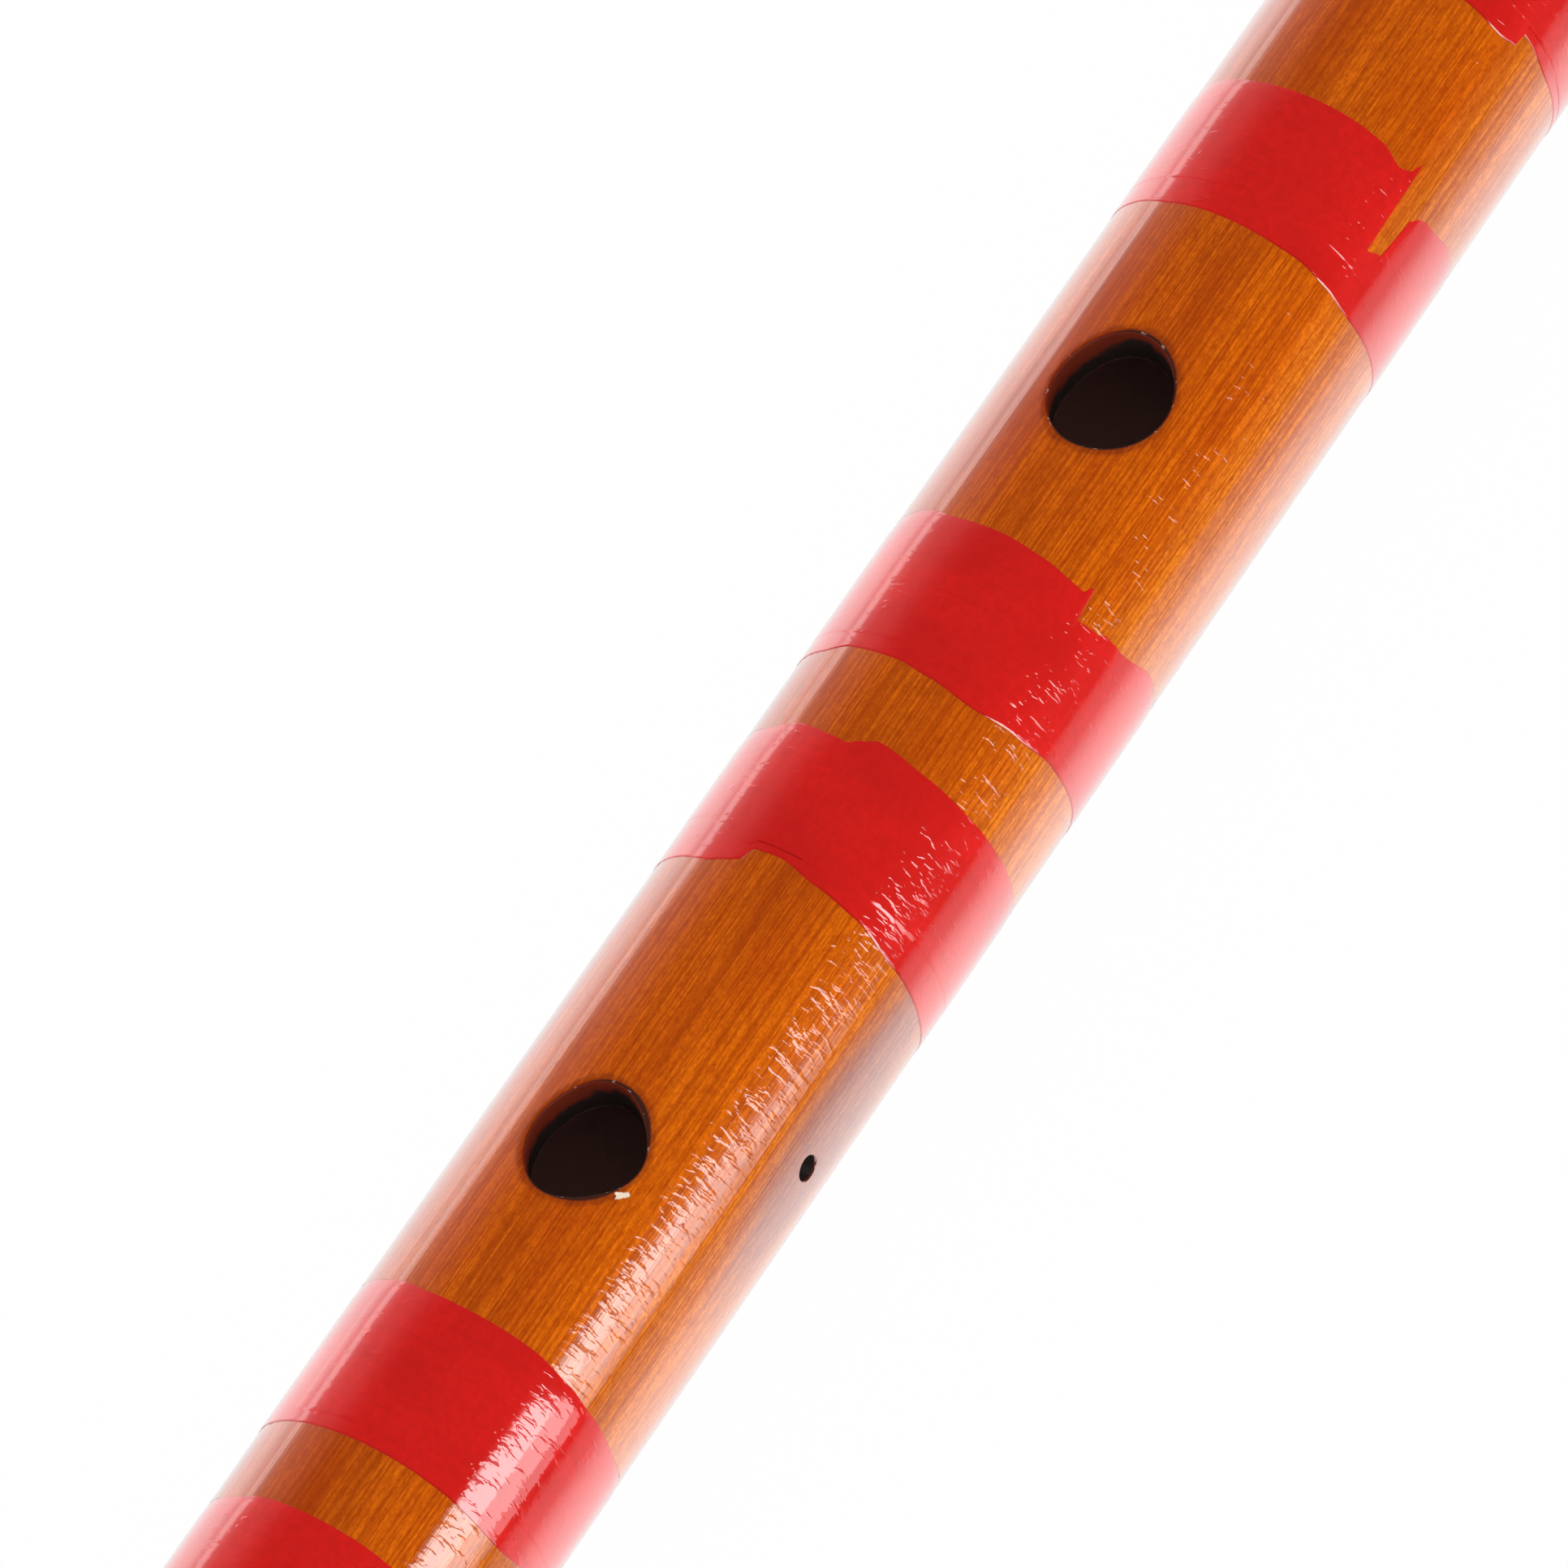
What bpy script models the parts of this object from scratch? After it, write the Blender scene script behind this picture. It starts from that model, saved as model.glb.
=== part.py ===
"""Dizi, a side-blown bamboo flute with film bindings, for Blender 4.5.

The flute lies along X with its playing holes up: the head end is at -X and the tail end at +X.
The origin is the middle of its length, on the surface that it lies on. Lengths are in metres.
Places along the flute are measured from the middle of the blow hole, positive towards the tail.
"""

import math

import bmesh
import bpy
from mathutils import Matrix, Vector

# Bamboo tube, which grows thinner by TAIL_TAPER from TAPER_START to the tail
HEAD_TO_BLOW_HOLE = 0.125
TUNING_HOLE_TO_TAIL = 0.132
BODY_DIAMETER = 0.0220
TAIL_TAPER = 0.0006
TAPER_START = 0.126
BORE_DIAMETER = 0.0155
ROUND_SEGMENTS = 48

# End rings, each a sleeve on a turned spigot with a lip over the end grain
RING_LENGTH = 0.0080
RING_PROUD = 0.0009
RING_LIP = 0.0014
RING_EDGE_RADIUS = 0.0006
SPIGOT_STEP = 0.0011
MOUTH_FLARE = 0.0004

# Cork stopper in the bore
STOPPER_LENGTH = 0.0220
STOPPER_TO_BLOW_HOLE = 0.0135
STOPPER_EDGE = 0.0008

# Holes: place, then length along the flute and width across it
HOLE_SEGMENTS = 28
HOLE_EDGE = 0.00025
BLOW_HOLE_SIZE = (0.0097, 0.0086)
# The blow hole is cut by hand: drawn out towards the player, and short of an oval on its diagonals
BLOW_HOLE_POINT = 0.022
BLOW_HOLE_FLATS = 0.02
MEMBRANE_HOLE_PLACE = 0.0686
MEMBRANE_HOLE_SIZE = (0.0097, 0.0085)
FINGER_HOLE_PLACES = (0.1320, 0.1545, 0.1780, 0.2040, 0.2230, 0.2500)
FINGER_HOLE_SIZE = (0.0090, 0.0083)
TUNING_HOLE_PLACES = (0.2850, 0.3030)
TUNING_HOLE_SIZE = (0.0078, 0.0072)
TASSEL_HOLE_PLACES = (0.3310, 0.3460)
TASSEL_HOLE_SIZE = (0.0068, 0.0066)
PIN_HOLE_PLACE = 0.0093
PIN_HOLE_ANGLE = 81.0
PIN_HOLE_DIAMETER = 0.0019
PIN_HOLE_DEPTH = 0.0020
PIN_HOLE_SEGMENTS = 16

# Bindings: a strip of film wound round the tube, its loose end lapped over
BINDING_WIDTH = 0.0118
FILM_THICKNESS = 0.00013
FILM_TURNS = 2
LAP_ANGLE = 52.5
LOOSE_END_SLOPE = 0.8
WINDING_DRIFT = 0.0020
EDGE_WANDER = 0.00022
PAIR_PITCH = 0.0186
END_TO_BINDING = 0.0101
HEAD_END_TO_SINGLE = 0.0545
TAIL_END_TO_INNER_PAIR = 0.0496
BLOW_HOLE_TO_PAIR = 0.0265
BLOW_HOLE_TO_NEXT_PAIR = 0.0241
MEMBRANE_HOLE_TO_BINDING = 0.0162
MEMBRANE_HOLE_TO_NEXT_BINDING = 0.0408
FINGER_HOLE_TO_BINDING = 0.0115
TUNING_HOLE_TO_BINDING = 0.0080
# Angles of the loose ends, from the playing holes towards the player's side
LOOSE_END_FRONT = 45.0
LOOSE_END_UNDER = 142.5

# Clearance between pieces that touch
SEAT_CLEARANCE = 0.0003
BINDING_CLEARANCE = 0.0002

BODY_LENGTH = HEAD_TO_BLOW_HOLE + TUNING_HOLE_PLACES[-1] + TUNING_HOLE_TO_TAIL
BODY_RADIUS = BODY_DIAMETER / 2
TAIL_RADIUS = BODY_RADIUS - TAIL_TAPER / 2
BORE_RADIUS = BORE_DIAMETER / 2
RING_RADIUS = BODY_RADIUS + RING_PROUD
FACET_ANGLE = 2 * math.pi / ROUND_SEGMENTS
HEAD_END = -BODY_LENGTH / 2
TAIL_END = BODY_LENGTH / 2
BLOW_HOLE_X = HEAD_END + HEAD_TO_BLOW_HOLE
# The rings carry the flute on the flats of their outer sides
AXIS_HEIGHT = RING_RADIUS * math.cos(FACET_ANGLE / 2)


def clear_scene():
    for old in list(bpy.data.objects):
        bpy.data.objects.remove(old, do_unlink=True)


def along(place):
    """X of a place that is measured from the middle of the blow hole."""
    return BLOW_HOLE_X + place


def tube_radius(x):
    """Outer radius of the bamboo, which tapers a little from TAPER_START to the tail."""
    start = along(TAPER_START)
    share = min(max((x - start) / (TAIL_END - start), 0.0), 1.0)
    return BODY_RADIUS + (TAIL_RADIUS - BODY_RADIUS) * share


def make_material(name, colour, roughness, coat=0.0, metallic=0.0):
    """A Principled material, its colour given as linear red, green and blue."""
    material = bpy.data.materials.new(name)
    material.use_nodes = True
    material.diffuse_color = (*colour, 1.0)
    shader = material.node_tree.nodes["Principled BSDF"]
    shader.inputs["Base Color"].default_value = (*colour, 1.0)
    shader.inputs["Roughness"].default_value = roughness
    shader.inputs["Metallic"].default_value = metallic
    shader.inputs["Coat Weight"].default_value = coat
    return material


def varnished_bamboo():
    return make_material("varnished_bamboo", (0.56, 0.15, 0.008), 0.45, coat=0.8)


def red_film():
    return make_material("red_film", (0.58, 0.012, 0.010), 0.22, coat=0.5)


def bone_plastic():
    return make_material("bone_plastic", (0.80, 0.74, 0.60), 0.30)


def natural_cork():
    return make_material("natural_cork", (0.50, 0.30, 0.15), 0.85)


def add_object(name, bm, material=None, place=(0.0, 0.0, 0.0), collection=None):
    """Turn a finished bmesh into an object whose location is its place."""
    mesh = bpy.data.meshes.new(name)
    bm.to_mesh(mesh)
    bm.free()
    made = bpy.data.objects.new(name, mesh)
    made.location = place
    (collection or bpy.context.scene.collection).objects.link(made)
    if material:
        mesh.materials.append(material)
    return made


def shade_round(made, angle=25.0):
    made.data.shade_smooth()
    made.data.set_sharp_from_angle(angle=math.radians(angle))


def turned_piece(profile, hollow=True):
    """A bmesh turned about X from (x, radius) points, with flats facing down and up.

    A hollow piece's profile closes on itself. A solid one's is open, and its flat ends are filled.
    """
    bm = bmesh.new()
    turn = Matrix.Rotation(FACET_ANGLE / 2, 4, "X")
    points = [bm.verts.new(turn @ Vector((x, 0.0, radius))) for x, radius in profile]
    edges = [bm.edges.new(pair) for pair in zip(points, points[1:])]
    if hollow:
        edges.append(bm.edges.new((points[-1], points[0])))
    bmesh.ops.spin(
        bm,
        geom=points + edges,
        cent=(0.0, 0.0, 0.0),
        axis=(1.0, 0.0, 0.0),
        angle=2 * math.pi,
        steps=ROUND_SEGMENTS,
        use_merge=True,
    )
    if not hollow:
        bmesh.ops.holes_fill(bm, edges=[edge for edge in bm.edges if edge.is_boundary], sides=0)
    bmesh.ops.recalc_face_normals(bm, faces=bm.faces[:])
    return bm


def rounded_corner(x, radius, corner, towards_x, steps=3):
    """Points of a quarter round of size corner, from the end face at x to the outer side at radius."""
    points = []
    for step in range(steps + 1):
        turn = math.pi / 2 * step / steps
        points.append((
            x + towards_x * corner * (1 - math.cos(turn)),
            radius - corner * (1 - math.sin(turn)),
        ))
    return points


def spigot_length():
    """The spigot ends a lip's thickness and a clearance short of the flute's end."""
    return RING_LENGTH - RING_LIP - SEAT_CLEARANCE


def spigot_radius(x):
    return tube_radius(x) - SPIGOT_STEP


def tube_blank():
    """The bamboo before its holes are cut: bore, body, and a spigot turned on each end."""
    spigot = spigot_length()
    head_shoulder = HEAD_END + RING_LENGTH
    tail_shoulder = TAIL_END - RING_LENGTH
    head_grain = head_shoulder - spigot
    tail_grain = tail_shoulder + spigot
    return turned_piece([
        (head_grain, BORE_RADIUS),
        (head_grain, spigot_radius(head_shoulder)),
        (head_shoulder, spigot_radius(head_shoulder)),
        (head_shoulder, tube_radius(head_shoulder)),
        (along(TAPER_START), BODY_RADIUS),
        (tail_shoulder, tube_radius(tail_shoulder)),
        (tail_shoulder, spigot_radius(tail_shoulder)),
        (tail_grain, spigot_radius(tail_shoulder)),
        (tail_grain, BORE_RADIUS),
    ])


def hole_outline(size, grow, point, flats, count=HOLE_SEGMENTS):
    """Points of an oval hole, grown outwards by grow.

    A share, point, draws it out towards the player. Another, flats, takes it in on its diagonals.
    """
    length, width = size
    outline = []
    for step in range(count):
        angle = 2 * math.pi * step / count
        bulge = 1.0 + point * math.sin(3 * angle) - flats * (1 - math.cos(4 * angle)) / 2
        outline.append((
            (length / 2 + grow) * math.cos(angle) * bulge,
            (width / 2 + grow) * math.sin(angle) * bulge,
        ))
    return outline


def hole_cutter_mesh(size, surface_radius, point=0.0, flats=0.0):
    """A plug for one hole, in the flute's upper side: straight walls and an eased edge that follows
    the round surface. Its origin is on the flute's axis."""
    rise = surface_radius + 0.003
    levels = (
        (0.0, lambda v: BORE_RADIUS * 0.55),
        (0.0, lambda v: math.sqrt(surface_radius ** 2 - v ** 2) - HOLE_EDGE),
        (HOLE_EDGE, lambda v: math.sqrt(surface_radius ** 2 - v ** 2)),
        (HOLE_EDGE * 2, lambda v: rise),
    )
    bm = bmesh.new()
    loops = []
    for grow, height in levels:
        outline = hole_outline(size, grow, point, flats)
        ring = [bm.verts.new((u, v, height(v))) for u, v in outline]
        loops.append([bm.edges.new((ring[i - 1], ring[i])) for i in range(len(ring))])
    for lower, upper in zip(loops, loops[1:]):
        bmesh.ops.bridge_loops(bm, edges=lower + upper)
    bmesh.ops.holes_fill(bm, edges=loops[0] + loops[-1], sides=0)
    bmesh.ops.recalc_face_normals(bm, faces=bm.faces[:])
    return bm


def pin_hole_cutter_mesh():
    """A plug for the small blind hole, pointing up from the flute's axis."""
    bm = bmesh.new()
    top = BODY_RADIUS + 0.002
    floor = BODY_RADIUS - PIN_HOLE_DEPTH
    bmesh.ops.create_cone(
        bm,
        cap_ends=True,
        segments=PIN_HOLE_SEGMENTS,
        radius1=PIN_HOLE_DIAMETER / 2,
        radius2=PIN_HOLE_DIAMETER / 2,
        depth=top - floor,
        matrix=Matrix.Translation((0.0, 0.0, (top + floor) / 2)),
    )
    return bm


def add_cutter(name, bm, place, angle, collection):
    """A hidden cutter, turned about the flute's axis from the playing holes to the player's side."""
    cutter = add_object(name, bm, place=(along(place), 0.0, AXIS_HEIGHT), collection=collection)
    cutter.rotation_euler.x = math.radians(angle)
    cutter.hide_render = True
    cutter.display_type = "WIRE"
    return cutter


def cut_holes(tube):
    """Cut every hole of the flute with one Boolean."""
    cutters = bpy.data.collections.new("hole_cutters")
    bpy.context.scene.collection.children.link(cutters)
    blow_hole = hole_cutter_mesh(BLOW_HOLE_SIZE, BODY_RADIUS, BLOW_HOLE_POINT, BLOW_HOLE_FLATS)
    add_cutter("cutter_blow_hole", blow_hole, 0.0, 0.0, cutters)
    playing_side = [("membrane_hole", MEMBRANE_HOLE_PLACE, MEMBRANE_HOLE_SIZE)]
    for number, place in enumerate(reversed(FINGER_HOLE_PLACES), start=1):
        playing_side.append((f"finger_hole_{number}", place, FINGER_HOLE_SIZE))
    for number, place in enumerate(TUNING_HOLE_PLACES, start=1):
        playing_side.append((f"tuning_hole_{number}", place, TUNING_HOLE_SIZE))
    for name, place, size in playing_side:
        plug = hole_cutter_mesh(size, tube_radius(along(place)))
        add_cutter(f"cutter_{name}", plug, place, 0.0, cutters)
    for number, place in enumerate(TASSEL_HOLE_PLACES, start=1):
        plug = hole_cutter_mesh(TASSEL_HOLE_SIZE, tube_radius(along(place)))
        add_cutter(f"cutter_tassel_hole_{number}", plug, place, 180.0, cutters)
    add_cutter("cutter_pin_hole", pin_hole_cutter_mesh(), PIN_HOLE_PLACE, PIN_HOLE_ANGLE, cutters)

    cut = tube.modifiers.new("holes", "BOOLEAN")
    cut.operation = "DIFFERENCE"
    cut.solver = "EXACT"
    cut.operand_type = "COLLECTION"
    cut.collection = cutters


def make_bamboo_tube(material):
    tube = add_object("bamboo_tube", tube_blank(), material, place=(0.0, 0.0, AXIS_HEIGHT))
    shade_round(tube)
    cut_holes(tube)
    return tube


def make_end_ring(name, end_x, towards_middle, material):
    """A ring that covers one end: sleeve over the spigot, lip over the end grain, flared mouth."""
    shoulder = end_x + towards_middle * (RING_LENGTH - SEAT_CLEARANCE)
    lip_back = end_x + towards_middle * RING_LIP
    seat_radius = spigot_radius(end_x + towards_middle * RING_LENGTH) + SEAT_CLEARANCE
    outer_edge = rounded_corner(end_x, RING_RADIUS, RING_EDGE_RADIUS, towards_middle)
    inner_edge = rounded_corner(shoulder, RING_RADIUS, RING_EDGE_RADIUS / 2, -towards_middle)
    profile = [
        (lip_back, BORE_RADIUS),
        (end_x + towards_middle * MOUTH_FLARE, BORE_RADIUS),
        (end_x, BORE_RADIUS + MOUTH_FLARE),
        *outer_edge,
        *reversed(inner_edge),
        (shoulder, seat_radius),
        (lip_back, seat_radius),
    ]
    ring = add_object(name, turned_piece(profile), material, place=(0.0, 0.0, AXIS_HEIGHT))
    shade_round(ring, 40.0)
    return ring


def make_head_stopper(material):
    """The cork, with its origin on the bore's axis at its face towards the blow hole."""
    radius = BORE_RADIUS - SEAT_CLEARANCE
    stopper = add_object(
        "head_stopper",
        turned_piece([
            (-STOPPER_LENGTH, radius - STOPPER_EDGE),
            (-STOPPER_LENGTH + STOPPER_EDGE, radius),
            (-STOPPER_EDGE, radius),
            (0.0, radius - STOPPER_EDGE),
        ], hollow=False),
        material,
        place=(along(-STOPPER_TO_BLOW_HOLE), 0.0, AXIS_HEIGHT),
    )
    shade_round(stopper)
    return stopper


def binding_places():
    """Near edge of each binding, from the middle of the blow hole, with the angle of its loose end."""
    head_end = -HEAD_TO_BLOW_HOLE
    tail_end = head_end + BODY_LENGTH
    hands_apart = (FINGER_HOLE_PLACES[2] + FINGER_HOLE_PLACES[3]) / 2
    near_head = [
        head_end + END_TO_BINDING,
        head_end + END_TO_BINDING + PAIR_PITCH,
        head_end + HEAD_END_TO_SINGLE,
        -BLOW_HOLE_TO_PAIR - PAIR_PITCH,
        -BLOW_HOLE_TO_PAIR,
        BLOW_HOLE_TO_NEXT_PAIR,
    ]
    near_membrane = [
        BLOW_HOLE_TO_NEXT_PAIR + PAIR_PITCH,
        MEMBRANE_HOLE_PLACE + MEMBRANE_HOLE_TO_BINDING,
    ]
    near_hands = [
        MEMBRANE_HOLE_PLACE + MEMBRANE_HOLE_TO_NEXT_BINDING,
        hands_apart - BINDING_WIDTH / 2,
    ]
    near_tuning_holes = [
        FINGER_HOLE_PLACES[-1] + FINGER_HOLE_TO_BINDING,
        TUNING_HOLE_PLACES[-1] + TUNING_HOLE_TO_BINDING,
    ]
    near_tail = [
        tail_end - TAIL_END_TO_INNER_PAIR - PAIR_PITCH - BINDING_WIDTH,
        tail_end - TAIL_END_TO_INNER_PAIR - BINDING_WIDTH,
        tail_end - END_TO_BINDING - PAIR_PITCH - BINDING_WIDTH,
        tail_end - END_TO_BINDING - BINDING_WIDTH,
    ]
    front = near_membrane + near_tuning_holes
    under = near_head + near_hands + near_tail
    return sorted(
        [(place, LOOSE_END_FRONT) for place in front] + [(place, LOOSE_END_UNDER) for place in under]
    )


def film_end_corner(loose_end_angle):
    """The angle, in degrees, of the round's corner where the film's loose end lies."""
    facet = 360.0 / ROUND_SEGMENTS
    return facet * (round(loose_end_angle / facet) + 0.5)


def binding_section(end_corner):
    """Corners of a binding's section as (angle, thickness): the film's turns, and one more under the lap.

    The loose end is a short slope between two corners, and the lap runs back from it.
    """
    facet = 360.0 / ROUND_SEGMENTS
    lap_facets = round(LAP_ANGLE / facet)
    plain = FILM_THICKNESS * FILM_TURNS
    corners = [(math.radians(end_corner + LOOSE_END_SLOPE), plain)]
    for step in range(ROUND_SEGMENTS):
        lapped = step < lap_facets
        corners.append((math.radians(end_corner - facet * step), plain + FILM_THICKNESS if lapped else plain))
    return corners


def edge_wander(angle, number):
    """How far a hand-wound edge strays from its place at an angle, in its own way on each binding."""
    slow = math.sin(angle + 2.4 * number)
    quick = math.sin(3 * angle + 1.7 * number)
    return EDGE_WANDER * (slow + quick / 2)


def winding_drift(angle, end_corner):
    """How far the far edge falls short at an angle: the film creeps towards the tail in its last turn."""
    turned = (math.degrees(angle) - end_corner - LOOSE_END_SLOPE / 2) % 360.0
    return WINDING_DRIFT * (1.0 - turned / 360.0)


def make_binding(number, place, loose_end_angle, material):
    """One binding: its section is drawn at the near edge and extruded to the far edge, down the taper."""
    near_x, far_x = along(place), along(place + BINDING_WIDTH)
    seat = tube_radius(near_x) + BINDING_CLEARANCE
    taper = (tube_radius(far_x) + BINDING_CLEARANCE) / seat
    end_corner = film_end_corner(loose_end_angle)
    bm = bmesh.new()
    outer = []
    inner = []
    for angle, thickness in binding_section(end_corner):
        direction = Vector((0.0, -math.sin(angle), math.cos(angle)))
        edge = Vector((near_x + edge_wander(angle, number), 0.0, 0.0))
        outer.append(bm.verts.new(edge + direction * (seat + thickness)))
        inner.append(bm.verts.new(edge + direction * seat))
    section = [
        bm.faces.new((outer[i - 1], outer[i], inner[i], inner[i - 1]))
        for i in range(len(outer))
    ]
    extruded = bmesh.ops.extrude_face_region(bm, geom=section)
    for vert in extruded["geom"]:
        if isinstance(vert, bmesh.types.BMVert):
            angle = math.atan2(-vert.co.y, vert.co.z)
            drift = winding_drift(angle, end_corner)
            x = far_x - drift + edge_wander(angle, number + 1)
            vert.co = (x, vert.co.y * taper, vert.co.z * taper)
    bmesh.ops.recalc_face_normals(bm, faces=bm.faces[:])
    binding = add_object(f"binding_{number:02d}", bm, material, place=(0.0, 0.0, AXIS_HEIGHT))
    shade_round(binding)
    return binding


def main():
    clear_scene()
    make_bamboo_tube(varnished_bamboo())
    ring_material = bone_plastic()
    make_end_ring("head_ring", HEAD_END, 1.0, ring_material)
    make_end_ring("tail_ring", TAIL_END, -1.0, ring_material)
    make_head_stopper(natural_cork())
    film = red_film()
    for number, (near_edge, loose_end_angle) in enumerate(binding_places(), start=1):
        make_binding(number, near_edge, loose_end_angle, film)


main()
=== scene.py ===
"""The looks of a dizi, a side-blown bamboo flute with film bindings, for Blender 4.5.

The flute lies along X with its playing holes up, its head end at -X and the player's side at -Y.
Lengths are in metres. Places along the flute are measured from the middle of the blow hole,
positive towards the tail. Angles round it are in degrees, from the playing holes towards the
player.
"""

import math

import bmesh
import bpy
from bpy.props import FloatProperty, FloatVectorProperty, PointerProperty
from mathutils import Matrix, Vector


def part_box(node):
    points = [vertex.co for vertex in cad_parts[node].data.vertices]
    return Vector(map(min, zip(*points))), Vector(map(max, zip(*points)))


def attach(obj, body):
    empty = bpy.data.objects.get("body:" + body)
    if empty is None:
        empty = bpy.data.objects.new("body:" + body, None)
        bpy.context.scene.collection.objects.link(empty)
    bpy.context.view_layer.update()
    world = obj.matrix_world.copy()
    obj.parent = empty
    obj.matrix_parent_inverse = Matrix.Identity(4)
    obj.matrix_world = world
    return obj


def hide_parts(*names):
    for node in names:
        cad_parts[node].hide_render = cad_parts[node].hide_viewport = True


bl_info = {
    "name": "Dizi",
    "version": (1, 0, 0),
    "blender": (4, 5, 0),
    "location": "3D View > Sidebar > Dizi",
    "description": "Builds a varnished bamboo flute with red film bindings round its packed frame",
    "category": "Object",
}

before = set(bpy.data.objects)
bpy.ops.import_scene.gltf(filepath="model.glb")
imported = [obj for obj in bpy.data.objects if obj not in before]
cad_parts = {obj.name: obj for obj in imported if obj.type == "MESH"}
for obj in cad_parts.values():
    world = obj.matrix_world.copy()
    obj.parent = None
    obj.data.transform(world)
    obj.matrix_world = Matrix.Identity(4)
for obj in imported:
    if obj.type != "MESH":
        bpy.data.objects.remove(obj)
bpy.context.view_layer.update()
TUBE_LOW, TUBE_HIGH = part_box("bamboo_tube")
HEAD_END, TAIL_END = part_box("head_ring")[0].x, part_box("tail_ring")[1].x

# The flute's axis, and where the middle of the blow hole lies on it
AXIS_HEIGHT = (TUBE_LOW.z + TUBE_HIGH.z) / 2
HEAD_TO_BLOW_HOLE = 0.125
BLOW_HOLE_X = HEAD_END + HEAD_TO_BLOW_HOLE

# Steps round the turned pieces, round a binding (one for each degree) and round a hole
TURN_STEPS = 256
FILM_STEPS = 360
HOLE_STEPS = 96

# Points closer than this are one, and a point closer than this to a round surface lies on it
SAME_POINT = 1e-7
ON_SURFACE = 0.00001

# Faces that meet at more than this have a sharp edge between them: on the tube, and elsewhere
TUBE_SHARP = math.radians(35.0)
SHARP = math.radians(40.0)

# The tube grows thinner from here to the tail, by this much of its diameter
TAPER_START = 0.126
TAIL_TAPER = 0.0006

# Holes: name, place, angle, length along the flute, width across it. They are cut by hand: a share
# draws each out towards the player, and another takes it in on its diagonals
HOLES = (
    ("blow_hole", 0.0, -0.6, 0.0094, 0.0083, 0.022, 0.04),
    ("membrane_hole", 0.0686, 0.0, 0.0099, 0.0086, 0.0, 0.01),
    ("finger_hole_6", 0.1320, 0.0, 0.0090, 0.0083, 0.0, 0.02),
    ("finger_hole_5", 0.1545, 0.0, 0.0090, 0.0083, 0.010, 0.01),
    ("finger_hole_4", 0.1780, 0.0, 0.0090, 0.0083, 0.0, 0.0),
    ("finger_hole_3", 0.2040, 0.0, 0.0090, 0.0083, 0.008, 0.02),
    ("finger_hole_2", 0.2230, 0.0, 0.0090, 0.0083, 0.0, 0.01),
    ("finger_hole_1", 0.2500, 0.0, 0.0090, 0.0083, -0.008, 0.0),
    ("tuning_hole_1", 0.2850, 0.0, 0.0078, 0.0072, 0.0, 0.0),
    ("tuning_hole_2", 0.3030, 0.0, 0.0078, 0.0072, 0.0, 0.0),
    ("tassel_hole_1", 0.3310, 180.0, 0.0068, 0.0066, 0.0, 0.0),
    ("tassel_hole_2", 0.3460, 180.0, 0.0068, 0.0066, 0.0, 0.0),
)
# A hole's rim rolls over by this angle in so many steps, and is varnished down to this depth
RIM_ROLL = math.radians(78.0)
RIM_STEPS = 7
RIM_DEPTH = 0.00012
# The pin hole: its place and angle, its size, how far its rim opens, and its floor's rounding
PIN_HOLE = (0.0093, 81.0)
PIN_HOLE_RADIUS = 0.00095
PIN_HOLE_DEPTH = 0.0020
PIN_HOLE_RIM = 0.00018
PIN_HOLE_BEND = 0.0004
# A nick in the blow hole's rim, where pale bamboo shows: place and angle, half sizes in mm, turn
NICK = (-0.00222, 22.2)
NICK_SIZE = (0.60, 0.26, 0.45)
NICK_TURN = math.radians(45.0)
# A painted grey reflection round the pin hole: its middle's place and angle, and half sizes in mm
GREY_REFLECTION_SPOT = (0.0130, 80.0)
GREY_REFLECTION_SIZE = (20.0, 4.2, 4.6)

# End rings and stopper, as the solids have them, with the stopper's rounded edges
RING_LENGTH = 0.0080
RING_LIP = 0.0014
RING_SEAT_STEP = 0.0011
MOUTH_FLARE = 0.0004
SEAT_CLEARANCE = 0.0003
STOPPER_EDGE = 0.0008

# A binding's film: its width, how far its near edge rounds over and bears painted shade, how deep
# its underside lies, how much of its thickness the far edge keeps, and the width of its edge strips
FILM_WIDTH = 0.0118
FILM_EDGE = 0.00016
SHADED_RIM_WIDTH = 0.00022
FILM_SUNK = 0.00004
FAR_EDGE_SHARE = 0.05
RIM_ZONE = 0.0009
# The upper turn's near edge: where the plain winding has it, half its slope's width, and how far
# it lies from the binding's near edge
LAP_PLACE = 0.0030
LAP_ZONE = 0.00008
LAP_SHIFT = 0.0018
# Hand winding: how far the last turn creeps, how far an edge strays, the spur at the loose end,
# and the angle of that end, by the binding's number and on the others
WINDING_DRIFT = 0.0020
EDGE_WANDER = 0.00022
SPUR_LENGTH = 0.0007
SPUR_DEGREES = 4
LOOSE_ENDS = {7: 38.5, 8: 49.5, 11: 48.0, 12: 48.0}
LOOSE_END_UNDER = 146.0

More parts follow.
